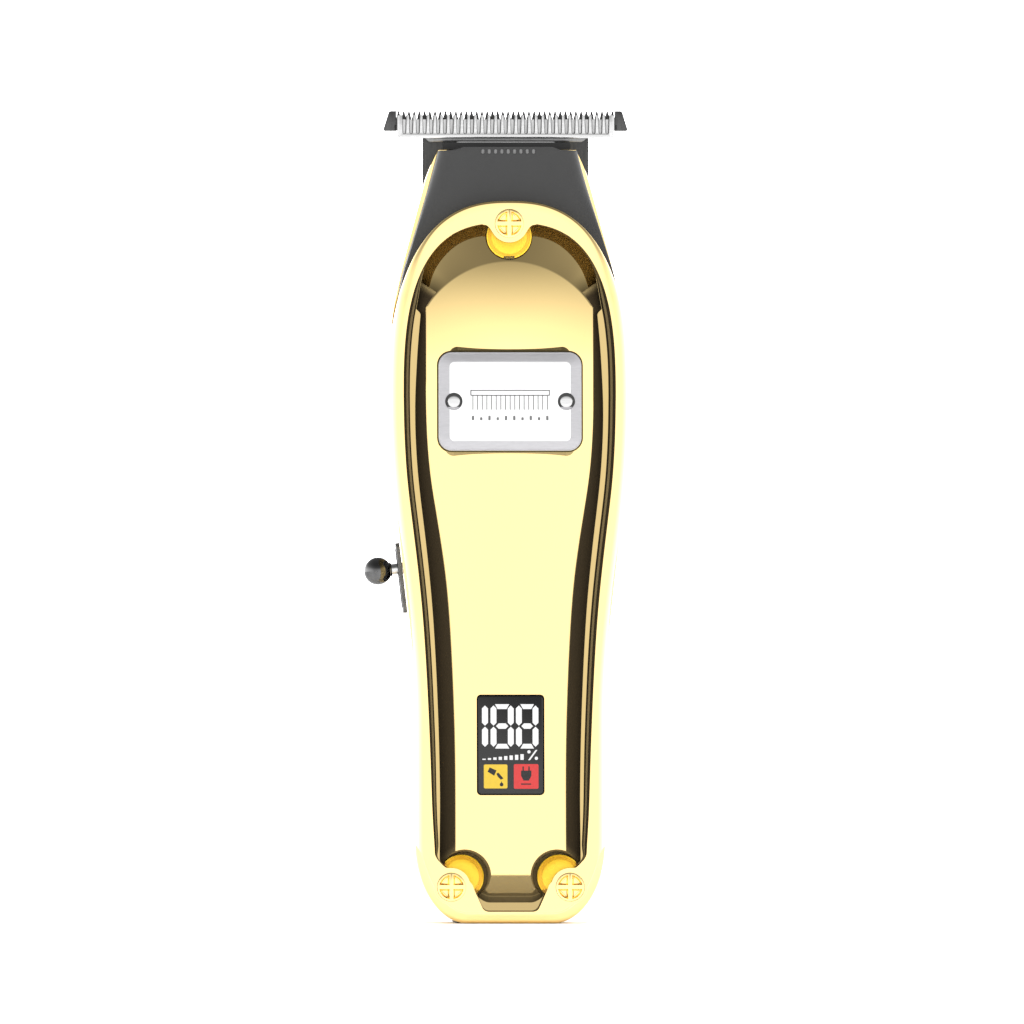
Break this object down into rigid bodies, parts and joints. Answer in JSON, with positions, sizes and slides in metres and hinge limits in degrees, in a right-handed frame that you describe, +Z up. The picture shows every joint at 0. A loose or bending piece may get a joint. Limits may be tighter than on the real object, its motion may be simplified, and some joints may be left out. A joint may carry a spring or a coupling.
{
  "type": "hair trimmer",
  "caption": "Cordless metal hair trimmer with a T-blade, gold plated covers, charge display and a side slide switch.",
  "frame": {"origin": "centre of the flat base face", "axes": "+Z up along the body to the blade, -Y out of the front face with the display, +X to the right seen from the front"},
  "size_m": [0.0457, 0.0336, 0.1398],
  "materials": {
    "gold_plate": "bright gold plating over die-cast zinc",
    "collar_gold": "bright yellow gold",
    "dark_plastic": "fine moulded texture",
    "black_plastic": "satin moulded",
    "black_steel": "black coated steel, satin",
    "chrome_steel": "polished steel",
    "steel": "plain steel",
    "dark_chrome": "polished dark chrome",
    "badge_steel": "polished plate",
    "motor_steel": "zinc plated steel",
    "magnet": "ferrite",
    "copper": "enamelled copper",
    "bronze": "sintered bronze",
    "white_plastic": "moulded nylon",
    "cell_wrap": "shrink sleeve",
    "lead_wire": "PVC insulation",
    "board": "solder mask",
    "smoked_window": "smoked lens with lit figures",
    "led_block": "reflector housing"
  },
  "bodies": {
    "body": {"front_cover": "gold_plate", "rear_cover": "gold_plate", "chassis": "dark_plastic", "head_housing": "dark_plastic", "base_cap": "black_plastic", "fixed_blade": "black_steel", "blade_screws": "steel", "cutter_spring": "steel", "motor_can": "motor_steel", "motor_magnets": "magnet", "motor_end_cap": "white_plastic", "motor_bushes": "bronze", "motor_brushes": "bronze", "motor_leads": "lead_wire", "battery_cell": "cell_wrap", "battery_tabs": "steel", "battery_leads": "lead_wire", "control_board": "board", "display_module": "led_block", "display_window": "smoked_window", "charge_socket": "steel", "switch_contacts": "steel", "switch_plate": "black_plastic", "badge_plate": "badge_steel", "badge_rivets": "chrome_steel", "cover_screws": "gold_plate", "screw_collars": "collar_gold"},
    "rotor": {"eccentric": "white_plastic", "motor_shaft": "steel", "armature": "copper", "commutator": "copper"},
    "cutter": {"cutter_blade": "chrome_steel", "cutter_drive": "black_plastic"},
    "switch": {"switch_slider": "steel", "switch_ball": "dark_chrome"}
  },
  "joints": [
    {"name": "motor_spin", "type": "hinge", "parent": "body", "child": "rotor", "pos_m": [0, 0, 0.1], "axis": [0, 0, 1], "range_deg": [-91, 91]},
    {"name": "cutter_slide", "type": "slide", "parent": "body", "child": "cutter", "axis": [1, 0, 0], "range_m": [-0.001, 0.001]},
    {"name": "switch_slide", "type": "slide", "parent": "body", "child": "switch", "axis": [0.1162, 0, -0.9932], "range_m": [0, 0.0035]}
  ],
  "couplings": [
    {"joint": "motor_spin", "follows": "cutter_slide", "rad_per_m": 1570.8}
  ]
}
